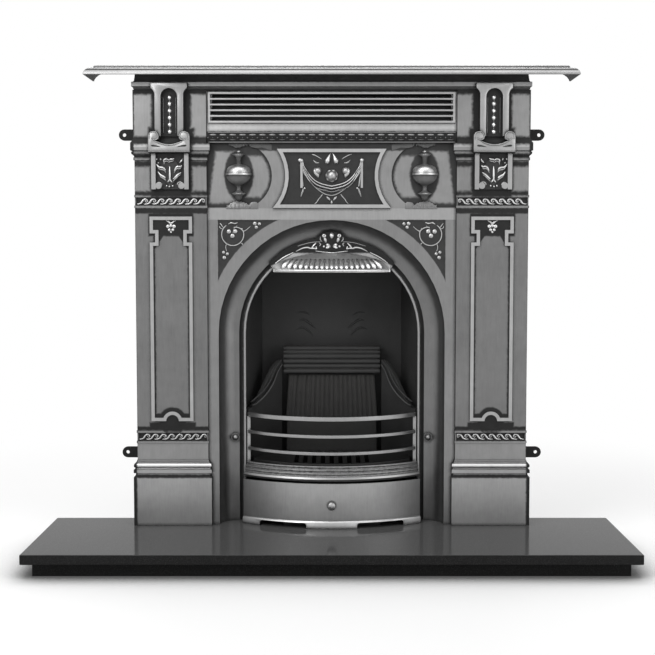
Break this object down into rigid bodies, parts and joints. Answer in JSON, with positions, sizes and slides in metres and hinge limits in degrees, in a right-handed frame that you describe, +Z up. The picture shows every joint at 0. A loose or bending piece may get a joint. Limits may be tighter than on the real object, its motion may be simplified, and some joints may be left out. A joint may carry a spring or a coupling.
{
  "type": "cast iron fireplace",
  "caption": "Arched cast iron combination fireplace with pilasters, shelf, hood, bowed fire bars, ash pan and a granite hearth.",
  "frame": {"origin": "middle of the whole object's footprint, on the floor", "axes": "+X across the fireplace to the viewer's right, +Y into the chimney, +Z up"},
  "size_m": [1.524, 0.587, 1.281],
  "materials": {
    "polished_iron": "hand-polished and lacquered on the raised faces, left dark in the recesses",
    "black_iron": "as cast, black grate polish",
    "granite": "polished black granite",
    "concrete": "trowelled backing concrete",
    "firebrick": "smoke-blackened fireclay",
    "sheet_steel": "black stove paint on folded steel",
    "bolt_steel": "plain mild steel"
  },
  "bodies": {
    "root": {"hearth_slab": "granite", "hearth_riser_front": "granite", "hearth_riser_left": "granite", "hearth_riser_right": "granite", "hearth_backfill": "concrete", "back_hearth": "granite", "left_jamb": "polished_iron", "right_jamb": "polished_iron", "left_bracket": "polished_iron", "right_bracket": "polished_iron", "left_leaf_tablet": "polished_iron", "right_leaf_tablet": "polished_iron", "centre_plate": "polished_iron", "left_urn": "polished_iron", "right_urn": "polished_iron", "swag_plaque": "polished_iron", "frieze_header": "polished_iron", "air_grille": "polished_iron", "shelf_bed_mould": "polished_iron", "mantel_shelf": "polished_iron", "arch_frame": "polished_iron", "canopy_hood": "polished_iron", "firebox_side_left": "black_iron", "firebox_side_right": "black_iron", "fireback_plate": "black_iron", "throat_plate": "black_iron", "damper_pin": "bolt_steel", "fire_brick": "firebrick", "ledge_block": "firebrick", "basket_cheek_left": "black_iron", "basket_cheek_right": "black_iron", "arch_stud_left": "polished_iron", "arch_stud_right": "polished_iron", "hood_bolt_left": "bolt_steel", "hood_bolt_right": "bolt_steel", "jamb_bolt_left_1": "bolt_steel", "jamb_bolt_left_2": "bolt_steel", "jamb_bolt_left_3": "bolt_steel", "jamb_bolt_left_4": "bolt_steel", "jamb_bolt_right_1": "bolt_steel", "jamb_bolt_right_2": "bolt_steel", "jamb_bolt_right_3": "bolt_steel", "jamb_bolt_right_4": "bolt_steel", "shelf_bolt_outer_left": "bolt_steel", "shelf_bolt_inner_left": "bolt_steel", "shelf_bolt_inner_right": "bolt_steel", "shelf_bolt_outer_right": "bolt_steel"},
    "fire_bars": {"fire_front": "polished_iron"},
    "grate": {"bottom_grate": "black_iron"},
    "cover": {"ash_pan_cover": "polished_iron", "cover_knob": "polished_iron"},
    "pan": {"ash_pan": "sheet_steel", "ash_pan_handle": "sheet_steel"},
    "damper": {"damper_flap": "black_iron"}
  },
  "joints": [
    {"name": "fire_front_lift", "type": "slide", "parent": "root", "child": "fire_bars", "axis": [0, 0, 1], "range_m": [0, 0.1]},
    {"name": "grate_lift", "type": "slide", "parent": "root", "child": "grate", "axis": [0, 0, 1], "range_m": [0, 0.08]},
    {"name": "cover_pull", "type": "slide", "parent": "root", "child": "cover", "axis": [0, -1, 0], "range_m": [0, 0.2]},
    {"name": "ash_pan_pull", "type": "slide", "parent": "root", "child": "pan", "axis": [0, -1, 0], "range_m": [0, 0.2]},
    {"name": "damper_swing", "type": "hinge", "parent": "root", "child": "damper", "pos_m": [0, 0.2575, 0.8493], "axis": [-1, 0, 0], "range_deg": [0, 70]}
  ],
  "couplings": [
    {"joint": "ash_pan_pull", "follows": "cover_pull", "ratio": 1}
  ]
}
